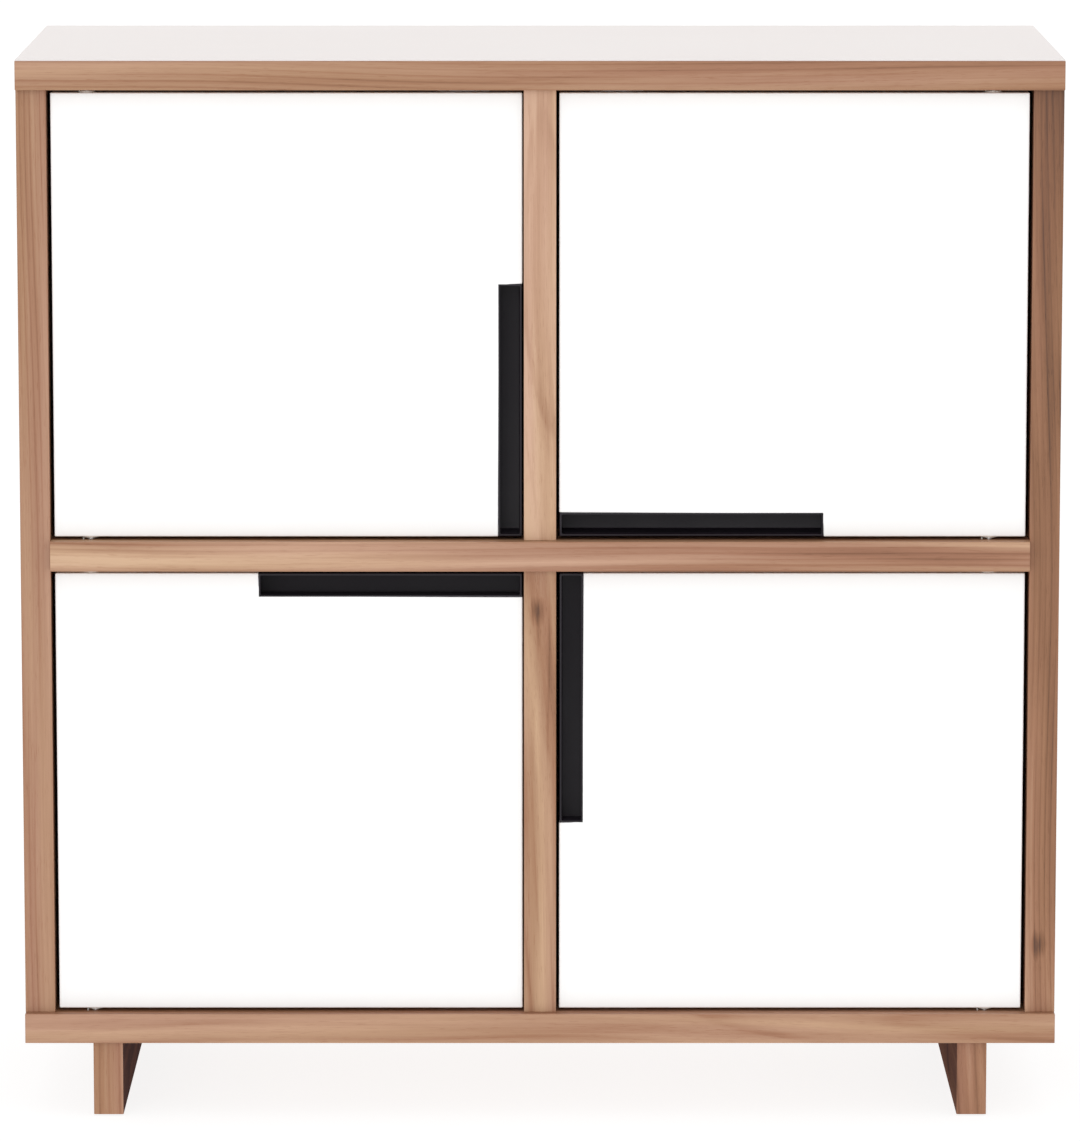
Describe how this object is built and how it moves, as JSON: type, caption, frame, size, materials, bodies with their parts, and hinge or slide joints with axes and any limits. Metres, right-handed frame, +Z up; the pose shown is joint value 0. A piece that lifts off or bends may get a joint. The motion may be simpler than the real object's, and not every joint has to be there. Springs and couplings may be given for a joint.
{
  "type": "four-door cube storage cabinet",
  "caption": "Square walnut-toned storage cabinet on plank legs, with plain white inset doors and black notch finger pulls turning round the centre.",
  "frame": {"origin": "on the floor, at the middle of the footprint's bounding box", "axes": "+Z up, front with the doors faces -Y, +X to the right as seen from the front"},
  "size_m": [0.9, 0.4, 0.927],
  "materials": {
    "walnut_level": "satin walnut veneer, grain along the width",
    "walnut_upright": "satin walnut veneer, grain up the height",
    "walnut_leg": "satin walnut veneer, darker, grain up the front edge",
    "walnut_back": "thin veneered back panel",
    "pale_laminate": "pale warm-white satin laminate",
    "white_door": "smooth satin white lacquer on board",
    "black_pocket": "matte black moulded plastic",
    "black_glide": "matte black plastic",
    "nylon_bush": "natural nylon",
    "white_catch": "white plastic",
    "steel_pin": "bright ground steel",
    "steel_bolt": "zinc-plated steel",
    "strike_steel": "zinc-plated sheet steel",
    "magnet_steel": "dark pole plates round a ferrite block",
    "zinc_screw": "zinc-plated",
    "zinc_insert": "zinc alloy",
    "zinc_cam": "die-cast zinc",
    "beech_dowel": "fluted beech"
  },
  "bodies": {
    "cabinet": {"top_panel": "walnut_level", "top_laminate": "pale_laminate", "bottom_panel": "walnut_level", "left_side_panel": "walnut_upright", "right_side_panel": "walnut_upright", "middle_shelf": "walnut_level", "upper_divider": "walnut_upright", "lower_divider": "walnut_upright", "back_panel": "walnut_back", "back_panel_screws": "zinc_screw", "left_leg_panel": "walnut_leg", "right_leg_panel": "walnut_leg", "leg_bolts": "steel_bolt", "leg_inserts": "zinc_insert", "leg_glides": "black_glide", "cam_bolts": "steel_bolt", "cam_discs": "zinc_cam", "dowels": "beech_dowel", "frame_bushes": "nylon_bush", "magnet_catch_housings": "white_catch", "catch_magnets": "magnet_steel", "catch_screws": "zinc_screw"},
    "upper_left_door_leaf": {"upper_left_door": "white_door", "upper_left_pull_pocket": "black_pocket", "upper_left_pivot_pins": "steel_pin", "upper_left_door_bushes": "nylon_bush", "upper_left_strike_plate": "strike_steel", "upper_left_door_screws": "zinc_screw"},
    "upper_right_door_leaf": {"upper_right_door": "white_door", "upper_right_pull_pocket": "black_pocket", "upper_right_pivot_pins": "steel_pin", "upper_right_door_bushes": "nylon_bush", "upper_right_strike_plate": "strike_steel", "upper_right_door_screws": "zinc_screw"},
    "lower_left_door_leaf": {"lower_left_door": "white_door", "lower_left_pull_pocket": "black_pocket", "lower_left_pivot_pins": "steel_pin", "lower_left_door_bushes": "nylon_bush", "lower_left_strike_plate": "strike_steel", "lower_left_door_screws": "zinc_screw"},
    "lower_right_door_leaf": {"lower_right_door": "white_door", "lower_right_pull_pocket": "black_pocket", "lower_right_pivot_pins": "steel_pin", "lower_right_door_bushes": "nylon_bush", "lower_right_strike_plate": "strike_steel", "lower_right_door_screws": "zinc_screw"}
  },
  "joints": [
    {"name": "upper_left_door_hinge", "type": "hinge", "parent": "cabinet", "child": "upper_left_door_leaf", "pos_m": [-0.3895, -0.179, 0.7055], "axis": [0, 0, -1], "range_deg": [0, 120]},
    {"name": "upper_right_door_hinge", "type": "hinge", "parent": "cabinet", "child": "upper_right_door_leaf", "pos_m": [0.3895, -0.179, 0.7055], "axis": [0, 0, 1], "range_deg": [0, 120]},
    {"name": "lower_left_door_hinge", "type": "hinge", "parent": "cabinet", "child": "lower_left_door_leaf", "pos_m": [-0.3895, -0.179, 0.2885], "axis": [0, 0, -1], "range_deg": [0, 120]},
    {"name": "lower_right_door_hinge", "type": "hinge", "parent": "cabinet", "child": "lower_right_door_leaf", "pos_m": [0.3895, -0.179, 0.2885], "axis": [0, 0, 1], "range_deg": [0, 120]}
  ]
}
